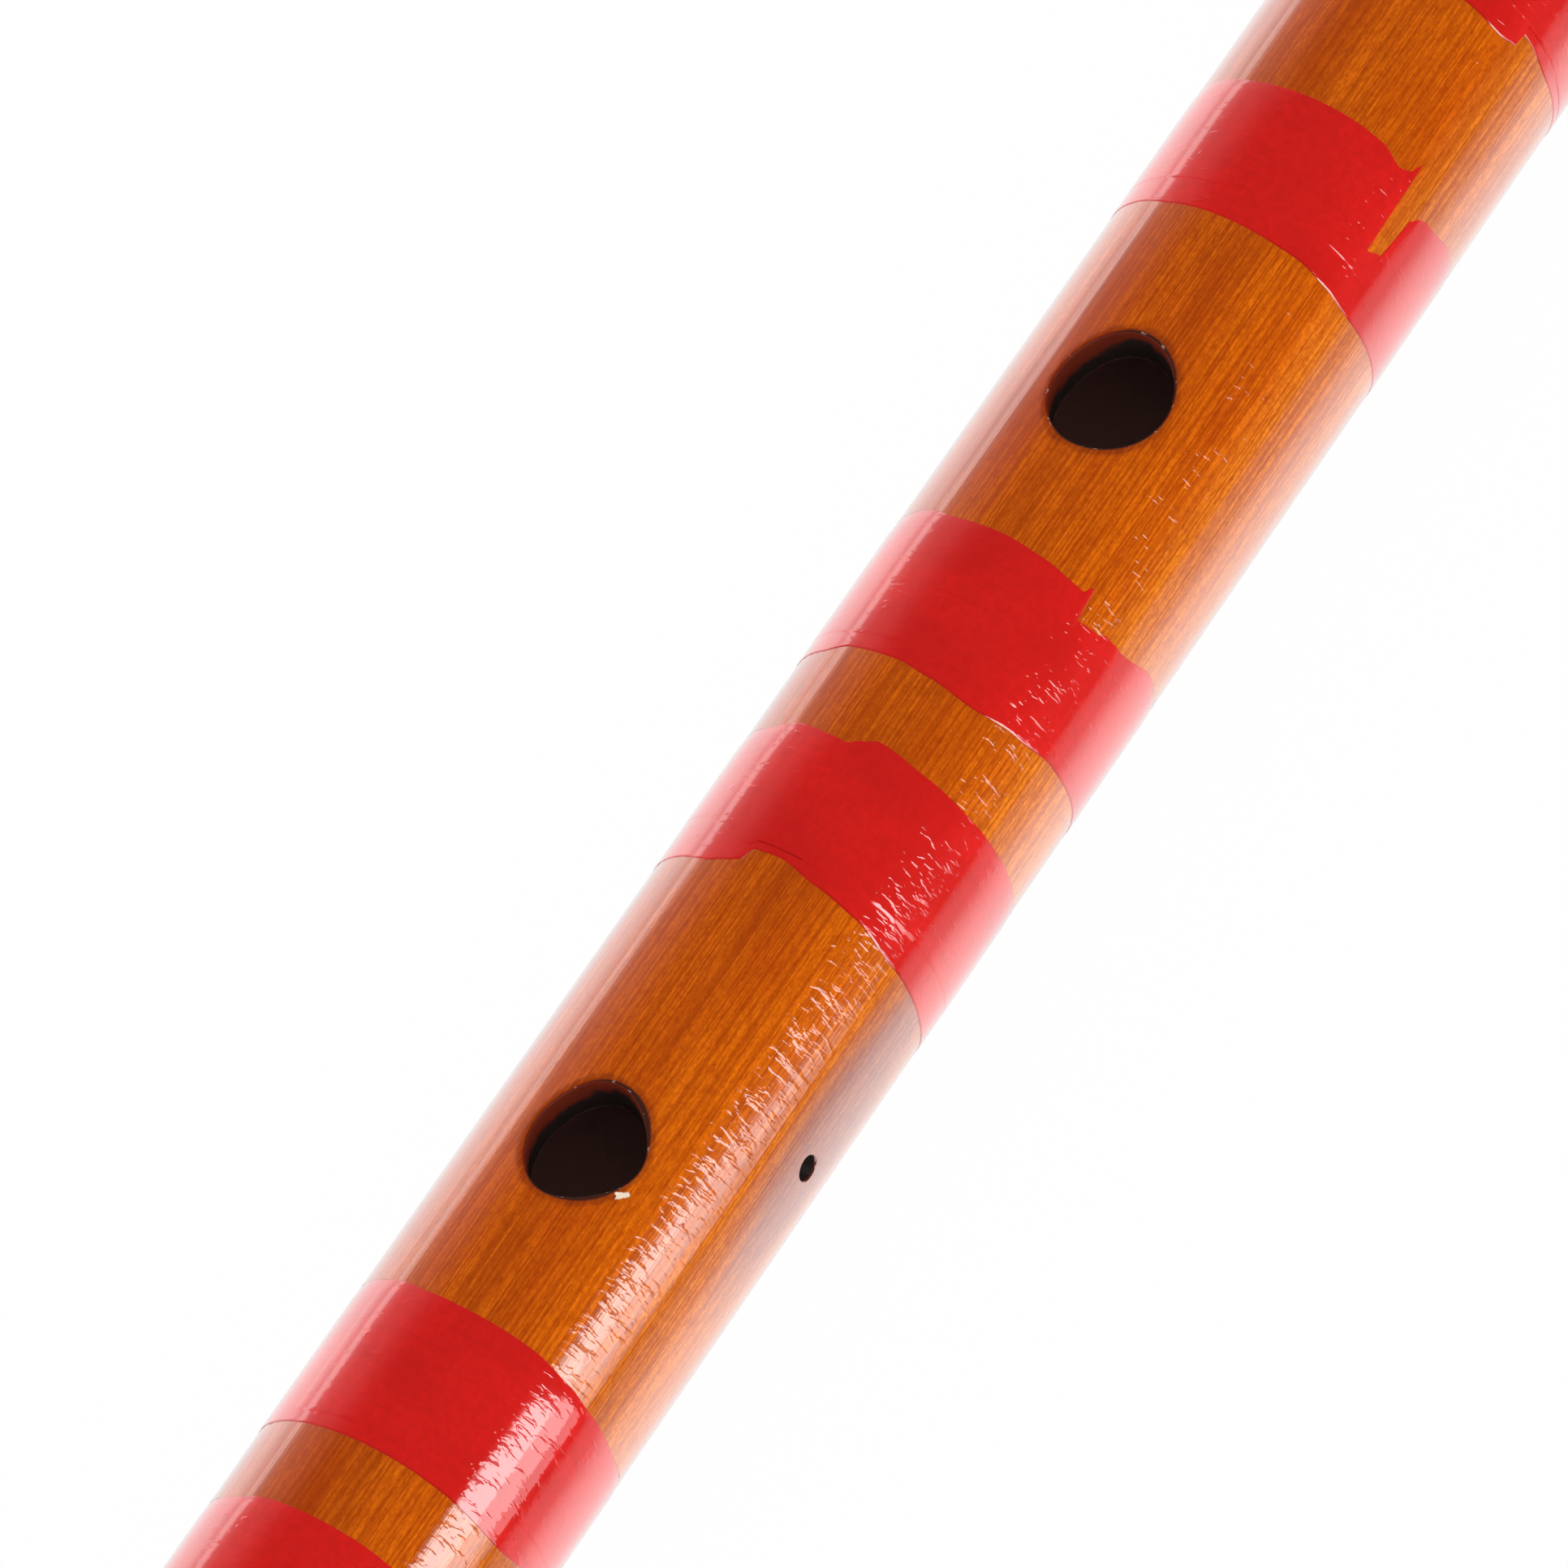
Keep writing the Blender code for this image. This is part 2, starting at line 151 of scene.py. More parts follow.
# Edges of the bindings by the two mouth holes, each as (angle, millimetres past its plain place)
NEAR_EDGES = {
    4: ((-120, 0.2), (-40, -0.1), (30, 0.1), (110, 0.1)),
    5: ((-110, 0.0), (-44, -0.2), (14, -0.22), (28, -0.27), (58, -0.5), (84, 0.2), (140, 0.1)),
    6: ((-150, -0.4), (-90, -0.6), (-45, -0.7), (-28, -0.85), (-20, -0.5), (-14, -0.15), (-11, 1.0),
        (-1, 1.1), (16, 0.55), (33, 0.3), (56, -0.35), (93, -0.7), (150, -0.3)),
    7: ((-120, -0.4), (-44, -0.45), (-30, 0.0), (-8, 0.0), (6, -0.25), (24, -0.5), (45, 0.0),
        (66, 0.6), (91, 0.8), (150, 0.3)),
    8: ((-120, 0.1), (-43, -0.1), (-28, -0.17), (-11, -0.05), (17, 0.0), (32, 0.1), (43, -0.1),
        (59, -0.4), (88, -0.3), (150, 0.1)),
    9: ((-100, 0.2), (-30, 0.0), (26, -0.35), (45, -0.6), (52, -0.3), (53, 0.9), (75, 0.3),
        (140, 0.2)),
}
FAR_EDGES = {
    4: ((-120, 0.0), (-40, -0.2), (-25, 0.1), (14, 0.05), (30, -0.05), (90, -0.3)),
    5: ((-150, 0.5), (-90, 0.6), (-32, 0.4), (-17, 0.1), (0, 0.0), (28, 0.0), (46, -0.3),
        (59, -0.6), (82, -0.9), (140, -0.4)),
    6: ((-140, -0.6), (-44, -0.7), (-28, -0.2), (-10, -0.5), (-6, -0.6), (0, 0.0), (5, 0.5),
        (27, 0.1), (52, -0.1), (87, -0.2), (150, -0.4)),
    7: ((-110, 0.6), (-39, 0.8), (-21, 0.4), (-3, 0.4), (16, 0.2), (31, -0.05), (35, -0.1),
        (37, 0.67), (38, 0.4), (39, -2.0), (49, -1.75), (52, -1.35), (60, -1.3), (85, 0.0),
        (150, 0.4)),
    8: ((-110, 0.1), (-43, -0.15), (-24, -0.3), (18, -0.2), (31, -0.3), (42, -0.9), (46, -0.6),
        (49, 0.5), (50, -7.4), (56, -6.9), (57, -5.4), (58, -3.2), (62, -2.4), (66, -2.1),
        (90, -1.2), (150, -0.3)),
    9: ((-110, 0.1), (0, 0.2), (90, -0.6)),
}
# Near edge of the upper turn, inside the binding, in millimetres from the binding's plain near edge
LAP_EDGES = {
    6: ((-150, 3.4), (-90, 3.6), (-47, 3.1), (-14, 1.25), (-11, 1.8), (60, 2.2), (150, 2.8)),
    7: ((-90, 1.5), (-30, 1.3), (30, 1.6), (90, 2.2), (150, 1.8)),
}

# The photograph's viewing point and directions, and its lens on a 36 mm wide sensor
CAMERA_PLACE = (-0.49691, -0.32965, 0.81787)
CAMERA_RIGHT = (0.52614, -0.84368, -0.10671)
CAMERA_UP = (0.75230, 0.40326, 0.52098)
CAMERA_LENS = 314.1

# Brushed clear varnish, the same on the bamboo and on the film. It loses its gloss towards a hole
# between these two places, where one is the hole's wall
VARNISH = {"Roughness": 0.12, "Sheen_Roughness": 0.27, "Coat_Roughness": 0.035, "Coat_IOR": 2.6}
RIM_GLOSS_START = 1.06
RIM_GLOSS_END = 1.11

# The studio: half the floor's width, the even light, how much of the floor's shadow shows, and
# the softboxes: name, middle, length along X, height, watts, the way that each faces in degrees,
# and whether the varnish mirrors it
WHITE = (1.0, 1.0, 1.0, 1.0)
FLOOR_REACH = 3.0
WORLD_STRENGTH = 0.73
SHADOW_SHARE = 0.015
SOFTBOXES = (
    ("side_softbox", (-0.322, -0.62, 0.0), 0.88, 1.10, 1.9, 0.0, True),
    ("softbox_middle", (-0.326, -0.61, 0.30), 0.87, 0.44, 0.9, 0.0, True),
    ("softbox_core", (-0.33, -0.60, 0.36), 0.86, 0.26, 0.7, 0.0, True),
    ("near_fill", (-0.10, -0.62, 0.06), 1.20, 0.24, 3.8, 0.0, False),
    ("far_fill", (-0.10, 0.60, 0.20), 1.20, 0.40, 4.9, 180.0, False),
)


def linear(code):
    """A colour written as a hex code, turned from sRGB to linear."""
    parts = [int(code[i:i + 2], 16) / 255 for i in (1, 3, 5)]
    parts = [p / 12.92 if p <= 0.04045 else ((p + 0.055) / 1.055) ** 2.4 for p in parts]
    return (*parts, 1.0)


def per_mm(*lengths):
    """Scale of a pattern whose features are this many millimetres along X, Y and Z."""
    return tuple(1000.0 / length for length in lengths)


def length_property(name, description, default):
    return FloatProperty(
        name=name, description=description, default=default, min=0.0, precision=6,
        subtype="DISTANCE", unit="LENGTH",
    )


def colour_property(name, description, code):
    return FloatVectorProperty(
        name=name, description=description, default=linear(code), size=4, min=0.0, max=1.0,
        subtype="COLOR",
    )


class DiziSizes(bpy.types.PropertyGroup):
    """Sizes that a maker would change."""

    body_diameter: length_property("Body diameter", "Outer diameter of the bamboo", 0.0220)
    bore_diameter: length_property("Bore diameter", "Inner diameter of the bamboo", 0.0155)
    hole_round: length_property("Hole rounding", "Radius of the rims of the holes", 0.00030)
    film_thickness: length_property("Film thickness", "Height of a binding's film", 0.00005)
    film_step: length_property("Film step", "Thickness of the binding's upper turn", 0.00002)
    ring_radius: length_property("Ring radius", "Outer radius of the end rings", 0.01187)
    ring_edge: length_property("Ring edge", "Radius of the outer edges of the end rings", 0.0006)
    ripple_height: length_property("Varnish ripple", "Height of the brush's ripples", 0.000027)
    ridge_height: length_property("Fibre ridge", "Height of the ridges along the bamboo", 0.0000060)
    film_wrinkle: length_property("Film wrinkle", "Height of the wrinkles in the film", 0.000013)


class DiziColours(bpy.types.PropertyGroup):
    """Colours that a maker would change."""

    bamboo: colour_property("Bamboo", "Varnished bamboo at its lightest", "#f07606")
    # Painted shade: this red-brown also darkens the far side, away from the softboxes
    bamboo_red_and_shade: colour_property("Bamboo red", "Redder areas of the bamboo", "#bd4402")
    # Painted light: this gold lightens the player's side, where the softboxes light it
    painted_lit_gold: colour_property("Bamboo gold", "Yellower bamboo on the player's side", "#fe9c24")
    fibre: colour_property("Fibre", "Dark fibres in the bamboo", "#9c3602")
    # Also the colour of painted glints on the rims of the holes
    pale_bamboo_and_glint: colour_property("Pale bamboo", "Bare bamboo in a nick", "#f7e3c8")
    hole_wall: colour_property("Hole wall", "Stained walls of the holes", "#66200f")
    lacquer: colour_property("Lacquer", "Black lacquer on the walls of the holes", "#241b18")
    bore: colour_property("Bore", "Dark lacquer of the bore", "#a87a70")
    # Painted reflection: a grey patch mirrored in the varnish round the pin hole
    painted_grey_reflection: colour_property("Smudge", "Dulled varnish where the flute is held", "#665c6c")
    film: colour_property("Film", "Red binding film", "#db1d19")
    film_deep: colour_property("Film, deep", "Film where its turns lie double", "#c21915")
    # Painted shade: the dark line along the film's near cut edge
    shaded_film_rim: colour_property("Film, rim", "Film along its cut edges", "#8f100e")
    bone: colour_property("Bone", "End rings", "#e9dfc9")
    cork: colour_property("Cork", "Stopper", "#c79a6b")
    floor: colour_property("Floor", "Floor under the flute", "#f2f2f2")


def chosen(context):
    """The sizes and the colours that the panel shows."""
    return context.scene.dizi_sizes, context.scene.dizi_colours


def add_node(tree, kind, inputs=None, **settings):
    """Add a shader node with its settings. An input that is a socket is linked, others are set."""
    node = tree.nodes.new(f"ShaderNode{kind}")
    for name, value in settings.items():
        setattr(node, name, value)
    for key, value in (inputs or {}).items():
        if isinstance(value, bpy.types.NodeSocket):
            tree.links.new(value, node.inputs[key])
        else:
            node.inputs[key].default_value = value
    return node


def new_material(name):
    """An empty material, its node tree, and object coordinates centred on the flute's axis."""
    material = bpy.data.materials.new(name)
    material.use_nodes = True
    tree = material.node_tree
    tree.nodes.clear()
    coordinates = add_node(tree, "TexCoord")
    centred = add_node(tree, "Mapping", {
        "Vector": coordinates.outputs["Object"],
        "Location": (0.0, 0.0, -AXIS_HEIGHT),
    })
    return material, tree, centred.outputs["Vector"]


def pattern(tree, place, size, detail=2.0, roughness=0.5, distortion=0.0):
    """Noise whose features have the given size in millimetres along X, Y and Z."""
    scaled = add_node(tree, "Mapping", {"Vector": place, "Scale": per_mm(*size)})
    noise = add_node(tree, "TexNoise", {
        "Vector": scaled.outputs["Vector"],
        "Scale": 1.0,
        "Detail": detail,
        "Roughness": roughness,
        "Distortion": distortion,
    })
    return noise.outputs["Fac"]


def between(tree, value, low, high, start=0.0, end=1.0, smooth=True):
    """A value taken from the span low to high, to the span start to end."""
    node = add_node(
        tree, "MapRange",
        {"Value": value, "From Min": low, "From Max": high, "To Min": start, "To Max": end},
        interpolation_type="SMOOTHSTEP" if smooth else "LINEAR",
    )
    return node.outputs["Result"]


def maths(tree, operation, first, second, third=0.0):
    """The result of one sum on numbers or sockets."""
    node = add_node(tree, "Math", {0: first, 1: second, 2: third}, operation=operation)
    return node.outputs["Value"]


def part_of(tree, vector, axis):
    """The X, Y or Z of a vector."""
    return add_node(tree, "SeparateXYZ", {"Vector": vector}).outputs[axis]


def length_of(tree, vector):
    return add_node(tree, "VectorMath", {0: vector}, operation="LENGTH").outputs["Value"]


def scaled_length(tree, vector, scale):
    """A vector's length once its parts are scaled, so that an oval's edge comes out as one."""
    scaled = add_node(tree, "Mapping", {"Vector": vector, "Scale": scale})
    return length_of(tree, scaled.outputs["Vector"])


def mix_colours(tree, share, first, second):
    """The first colour, turned to the second where the share is one.

    A mix node has its colours at inputs 6 and 7 and its mixed colour at output 2.
    """
    return add_node(tree, "Mix", {0: share, 6: first, 7: second}, data_type="RGBA").outputs[2]


def toned(tree, colour, target, mark, low, high, most=1.0):
    """A colour, drawn up to a share towards a target where a mark goes from low to high."""
    return mix_colours(tree, between(tree, mark, low, high, 0.0, most), colour, target)


def offset_from(tree, place, point):
    """How far a place lies from a point, as a vector."""
    node = add_node(tree, "VectorMath", {0: place, 1: point}, operation="SUBTRACT")
    return node.outputs["Vector"]


def bumped(tree, height, distance, normal=None):
    """A normal that follows a height of the given size in metres."""
    inputs = {"Height": height, "Distance": distance, "Strength": 1.0}
    if normal:
        inputs["Normal"] = normal
    return add_node(tree, "Bump", inputs).outputs["Normal"]


def finish_material(tree, **inputs):
    """The surface's shader, from inputs whose names have underscores for spaces."""
    named = {name.replace("_", " "): value for name, value in inputs.items()}
    shader = add_node(tree, "BsdfPrincipled", named)
    add_node(tree, "OutputMaterial", {"Surface": shader.outputs["BSDF"]})


def brushed_ripples(tree, place):
    """Height of the ripples that the varnish brush left round the flute.

    They lie in clumps, strongest on the player's side, and lower where the brush ran dry.
    """
    ripples = pattern(tree, place, (0.56, 1.5, 1.5), roughness=0.55, distortion=0.3)
    clumps = pattern(tree, place, (2.2, 3.0, 3.0))
    across = part_of(tree, place, "Y")
    height = between(tree, ripples, 0.46, 0.78)
    for share in (
        between(tree, clumps, 0.42, 0.60, 0.25, 1.0),
        between(tree, part_of(tree, place, "X"), along(0.018), along(0.040), 1.0, 0.7),
        between(tree, across, -0.0036, -0.0056, 0.14, 1.0),
        between(tree, across, -0.0086, -0.0094, 1.0, 0.2),
    ):
        height = maths(tree, "MULTIPLY", height, share)
    return height


def radius_of(tree, place):
    """How far a place lies from the flute's axis."""
    return scaled_length(tree, place, (0.0, 1.0, 1.0))


def depth_of(tree, place, body_radius):
    """How far a place lies in from the bamboo's skin, which tapers towards the tail."""
    skin = between(
        tree, part_of(tree, place, "X"), along(TAPER_START), TAIL_END,
        body_radius, body_radius - TAIL_TAPER / 2, smooth=False,
    )
    return maths(tree, "SUBTRACT", skin, radius_of(tree, place))


def out_from_holes(tree, place, body_radius):
    """How far a place lies from the nearest hole's middle, where one is at the hole's wall."""
    nearest = 10.0
    for _, x, angle, length, width, *_ in HOLES:
        offset = offset_from(tree, place, on_tube(x, angle, body_radius))
        out = scaled_length(tree, offset, (2 / length, 2 / width, 2 / length))
        nearest = maths(tree, "MINIMUM", out, nearest)
    return nearest


def bamboo_skin(tree, place, colours, fibres):
    """Colour of the bamboo: slow changes from orange to red-brown, with painted shade on the far
    side and painted light in gold on the player's side, then marks that darken it.
    """
    patches = pattern(tree, place, (38.0, 6.0, 6.0), detail=3.0, roughness=0.6)
    streaks = pattern(tree, place, (45.0, 1.3, 1.3), detail=3.0, roughness=0.6)
    pores = pattern(tree, place, (1.1, 0.16, 0.16), roughness=0.6)
    flecks = pattern(tree, place, (1.5, 0.6, 0.6), detail=3.5, roughness=0.75)
    specks = pattern(tree, place, (0.32, 0.24, 0.24), detail=1.5)
    across = part_of(tree, place, "Y")
    # Painted shade: the far side, away from the softboxes, is drawn towards red-brown
    far_side = between(tree, across, -0.0040, 0.0045, 0.0, 0.45)
    reddened_and_far_shade = maths(tree, "ADD", between(tree, patches, 0.40, 0.66, 0.0, 0.55), far_side)
    colour = mix_colours(tree, reddened_and_far_shade, colours.bamboo, colours.bamboo_red_and_shade)
    # Painted light: the player's side, lit by the softboxes, is drawn towards gold
    colour = toned(tree, colour, colours.painted_lit_gold, across, -0.0078, -0.0096, 0.48)
    for mark, low, high, most in (
        (streaks, 0.50, 0.75, 0.35),
        (fibres, 0.38, 0.62, 0.62),
        (pores, 0.50, 0.68, 0.46),
        (flecks, 0.40, 0.66, 0.34),
        (specks, 0.42, 0.66, 0.30),
    ):
        colour = toned(tree, colour, colours.fibre, mark, low, high, most)
    return colour


def varnished_bamboo(sizes, colours):
    """Bitter bamboo under brushed clear varnish.

    The fibres give the eye fine dark lines along the tube, about 0.4 mm apart, crossed by small
    flecks, over slow changes from orange to red-brown, with painted shade on the far side, painted
    light in gold on the player's side and a painted grey reflection round the pin hole. The varnish
    is glossy, so it mirrors the studio, but not on the rims of the holes, where the knife left the
    wood dark and dull.
    """
    material, tree, place = new_material("varnished_bamboo")
    body_radius = sizes.body_diameter / 2
    fibres = pattern(tree, place, (34.0, 0.19, 0.19), roughness=0.7)
    colour = bamboo_skin(tree, place, colours, fibres)

    # Painted grey reflection round the pin hole, greying the bamboo there
    grey_reflection = offset_from(tree, place, on_tube(*GREY_REFLECTION_SPOT, body_radius))
    grey_reflection = scaled_length(tree, grey_reflection, per_mm(*GREY_REFLECTION_SIZE))
    colour = toned(tree, colour, colours.painted_grey_reflection, grey_reflection, 1.0, 0.4, 0.55)

    # The rims of the holes are stained, and the stain has crept over the skin
    depth = depth_of(tree, place, body_radius)
    out = out_from_holes(tree, place, body_radius)
    ragged = pattern(tree, place, (1.2, 1.2, 1.2), detail=3.0)
    crept = between(tree, maths(tree, "MULTIPLY_ADD", ragged, 0.14, out), 1.25, 1.12, 0.0, 0.65)
    stained = maths(tree, "MAXIMUM", between(tree, depth, 0.00002, 0.00006), crept)
    colour = mix_colours(tree, stained, colour, colours.hole_wall)

    # Lacquer has run over the rims, least on the side away from the player
    lacquered = between(tree, part_of(tree, place, "Y"), 0.0005, 0.0030, 0.9, 0.1)
    lacquered = maths(tree, "MULTIPLY", between(tree, out, 1.065, 1.02), lacquered)
    colour = mix_colours(tree, lacquered, colour, colours.lacquer)

    # The nick in the blow hole's rim
    spot = offset_from(tree, place, on_tube(*NICK, body_radius))
    spot = add_node(tree, "Mapping", {"Vector": spot, "Rotation": (0.0, 0.0, NICK_TURN)})
    nick = scaled_length(tree, spot.outputs["Vector"], per_mm(*NICK_SIZE))
    torn = pattern(tree, place, (0.32, 0.32, 0.32))
    worn = maths(tree, "MULTIPLY_ADD", torn, 2.4, nick)
    colour = toned(tree, colour, colours.pale_bamboo_and_glint, worn, 2.20, 1.85)

    # Pale specks along the rims: chips where varnish has worn off, and painted glints
    chips_and_glints = pattern(tree, place, (0.55, 0.55, 0.55))
    chips_and_glints = between(tree, chips_and_glints, 0.62, 0.70, 0.0, 0.22)
    chips_and_glints = maths(tree, "MULTIPLY", chips_and_glints, between(tree, depth, 0.00001, 0.00004))
    colour = mix_colours(tree, chips_and_glints, colour, colours.pale_bamboo_and_glint)

    ridges = bumped(tree, fibres, sizes.ridge_height)
    glossy = between(tree, out, RIM_GLOSS_START, RIM_GLOSS_END, 0.03, 1.0)
    finish_material(
        tree,
        **VARNISH,
        Base_Color=colour,
        Specular_IOR_Level=between(tree, out, RIM_GLOSS_START, RIM_GLOSS_END, 0.03, 0.5),
        Normal=ridges,
        Sheen_Weight=glossy,
        Coat_Weight=glossy,
        Coat_Normal=bumped(tree, brushed_ripples(tree, place), sizes.ripple_height, ridges),
    )
    return material


def lacquered_bore(sizes, colours):
    """Stained bamboo with black lacquer brushed into the bore and up the walls of the holes.

    The lacquer ends raggedly, least high on the side away from the player, so the eye finds
    red-brown wood there under the rims and black below it. The pin hole is lacquered thickly, so
    it glints.
    """
    material, tree, place = new_material("lacquered_bore")
    body_radius, bore_radius = sizes.body_diameter / 2, sizes.bore_diameter / 2
    ragged = pattern(tree, place, (0.9, 0.9, 0.9), detail=3.0, roughness=0.6)
    shy = between(tree, part_of(tree, place, "Y"), 0.0005, 0.0040, 0.0, 0.0008)
    pinned = length_of(tree, offset_from(tree, place, on_tube(*PIN_HOLE, body_radius)))
    pinned = between(tree, pinned, 0.0026, 0.0022)
    painted = maths(tree, "MULTIPLY_ADD", ragged, -0.0018, depth_of(tree, place, body_radius))
    painted = maths(tree, "MULTIPLY_ADD", pinned, 0.0012, maths(tree, "SUBTRACT", painted, shy))
    colour = toned(tree, colours.hole_wall, colours.lacquer, painted, -0.0002, 0.0005)
    radius = radius_of(tree, place)
    finish_material(
        tree,
        Base_Color=toned(
            tree, colour, colours.bore, radius, bore_radius + 0.00002, bore_radius + 0.00001,
        ),
        Roughness=0.50,
        Normal=bumped(tree, ragged, 0.00006),
        Specular_IOR_Level=0.3,
        Coat_Weight=pinned,
        Coat_Roughness=0.10,
        Coat_IOR=1.8,
    )
    return material


def varnished_film(sizes, colours):
    """Thin red polyester film wound on by hand and varnished over.

    It is smooth and glossy, with fine wrinkles across the flute that catch the light as short
    dashes. It is faintly mottled where it has stretched over the bamboo, and darker along its near
    cut edge, where a dark line is painted shade.
    """
    material, tree, place = new_material("varnished_film")
    clouds = pattern(tree, place, (7.0, 9.0, 9.0), detail=3.0)
    streaks = pattern(tree, place, (0.5, 7.0, 7.0), detail=2.5, roughness=0.65)
    mottle = pattern(tree, place, (0.6, 0.6, 0.6), detail=2.5, roughness=0.7)
    rim = add_node(tree, "Attribute", attribute_name="shaded_film_rim").outputs["Fac"]
    colour = toned(tree, colours.film, colours.film_deep, clouds, 0.40, 0.66, 0.5)
    colour = toned(tree, colour, colours.film_deep, streaks, 0.48, 0.72, 0.35)
    colour = toned(tree, colour, colours.film_deep, mottle, 0.36, 0.64, 0.46)
    # Painted shade: a dark line along the near cut edge
    colour = toned(tree, colour, colours.shaded_film_rim, rim, 0.1, 1.0, 0.5)

    # Varnish lies thinner over the near cut edges, except on the player's side
    bare = between(tree, part_of(tree, place, "Y"), -0.0045, -0.0025)
    bare = maths(tree, "MULTIPLY", bare, between(tree, rim, 0.3, 0.8))

    ripples = bumped(tree, brushed_ripples(tree, place), sizes.ripple_height)
    dashes = pattern(tree, place, (0.42, 1.1, 1.1), detail=1.0, distortion=0.4)
    finish_material(
        tree,
        **VARNISH,
        Base_Color=colour,
        Sheen_Weight=1.0,
        Coat_Weight=between(tree, bare, 0.0, 1.0, 1.0, 0.35),
        Coat_Normal=bumped(tree, between(tree, dashes, 0.58, 0.80), sizes.film_wrinkle, ripples),
    )
    return material


def polished_bone(colours):
    """Cream plastic turned and polished to look like ox bone.

    The eye finds a soft gloss over pale clouds and a faint darker grain along the flute.
    """
    material, tree, place = new_material("bone_plastic")
    clouds = pattern(tree, place, (6.0, 4.0, 4.0))
    grain = pattern(tree, place, (9.0, 0.5, 0.5), detail=3.0, roughness=0.6)
    turning = pattern(tree, place, (0.12, 30.0, 30.0), detail=1.0)
    colour = toned(tree, colours.bone, linear("#dccdae"), clouds, 0.35, 0.70, 0.6)
    finish_material(
        tree,
        Base_Color=toned(tree, colour, linear("#b89f78"), grain, 0.58, 0.75, 0.5),
        Roughness=0.22,
        Normal=bumped(tree, turning, 0.000002),
        Subsurface_Weight=0.1,
        Subsurface_Radius=(0.003, 0.002, 0.0015),
        Coat_Weight=0.4,
        Coat_Roughness=0.08,
    )
    return material


def natural_cork(colours):
    """Cut cork, left bare: dull soft grains about 1.5 mm across, with dark pores."""
    material, tree, place = new_material("natural_cork")
    scaled = add_node(tree, "Mapping", {"Vector": place, "Scale": per_mm(1.6, 1.3, 1.3)})
    grains = add_node(tree, "TexVoronoi", {"Vector": scaled.outputs["Vector"], "Scale": 1.0})
    mottle = pattern(tree, place, (0.9, 0.7, 0.7), detail=4.0, roughness=0.7)
    pores = pattern(tree, place, (0.7, 0.5, 1.8))
    colour = toned(tree, colours.cork, linear("#a87646"), mottle, 0.35, 0.70)
    colour = toned(tree, colour, linear("#8a5a30"), grains.outputs["Distance"], 0.45, 0.75, 0.45)
    finish_material(
        tree,
        Base_Color=toned(tree, colour, linear("#4d2c16"), pores, 0.66, 0.72),
        Roughness=0.85,
        Normal=bumped(tree, pores, 0.00012, bumped(tree, mottle, 0.00008)),
    )
    return material


def along(place):
    """X of a place that is measured from the middle of the blow hole."""
    return BLOW_HOLE_X + place


def tube_radius(x, body_radius):
    """Outer radius of the bamboo, which tapers a little from TAPER_START to the tail."""
    start = along(TAPER_START)
    return body_radius - TAIL_TAPER / 2 * clamped((x - start) / (TAIL_END - start))


def on_tube(place, angle, radius):
    """The point at a place and an angle, with the flute's axis as Z nought."""
    turn = math.radians(angle)
    return Vector((along(place), -radius * math.sin(turn), radius * math.cos(turn)))


def angle_of(point):
    """Degrees round the flute's axis of a point, from the playing holes towards the player."""
    return math.degrees(math.atan2(-point.y, point.z))


def clamped(value):
    return min(max(value, 0.0), 1.0)


def turned(profile, steps=TURN_STEPS, closed=True, axis=(1.0, 0.0, 0.0)):
    """A bmesh spun from a profile of (x, z) points, about X if no other axis is given."""
    bm = bmesh.new()
    points = [bm.verts.new((x, 0.0, z)) for x, z in profile]
    edges = [bm.edges.new(pair) for pair in zip(points, points[1:])]
    if closed:
        edges.append(bm.edges.new((points[-1], points[0])))
    bmesh.ops.spin(
        bm, geom=points + edges, cent=(0.0, 0.0, 0.0), axis=axis, angle=2 * math.pi, steps=steps,
        use_merge=True,
    )
    bmesh.ops.remove_doubles(bm, verts=bm.verts[:], dist=SAME_POINT)
    bmesh.ops.recalc_face_normals(bm, faces=bm.faces[:])
    return bm


def quarter_round(x, radius, corner, towards_x, steps=8):
    """Points of a rounded corner, from the end face at x to the outer side at radius."""
    turns = [math.pi / 2 * step / steps for step in range(steps + 1)]
    return [
        (x + towards_x * corner * (1 - math.cos(turn)), radius - corner * (1 - math.sin(turn)))
        for turn in turns
    ]


def link_object(name, bm, material=None):
    mesh = bpy.data.meshes.new(name)
    bm.to_mesh(mesh)
    bm.free()
    made = bpy.data.objects.new(name, mesh)
    bpy.context.scene.collection.objects.link(made)
    if material:
        mesh.materials.append(material)
    return made


def add_piece(name, bm, material, body, node):
    """Add a finished piece in its place, which rides on a body and stands for a CAD node."""
    bmesh.ops.translate(bm, verts=bm.verts[:], vec=(0.0, 0.0, AXIS_HEIGHT))
    piece = link_object(name, bm, material)
    piece.data.shade_smooth()
    piece.data.set_sharp_from_angle(angle=SHARP)
    dress(piece, body, node)


def dress(piece, body, node):
    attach(piece, body)
    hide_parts(node)


def hole_point(hole, turn, grow):
    """A point of a hole's outline at an angle round the hole, grown outwards."""
    length, width, point, flats = hole
    bulge = 1.0 + point * math.sin(3 * turn) - flats * (1 - math.cos(4 * turn)) / 2
    return (length / 2 + grow) * math.cos(turn) * bulge, (width / 2 + grow) * math.sin(turn) * bulge


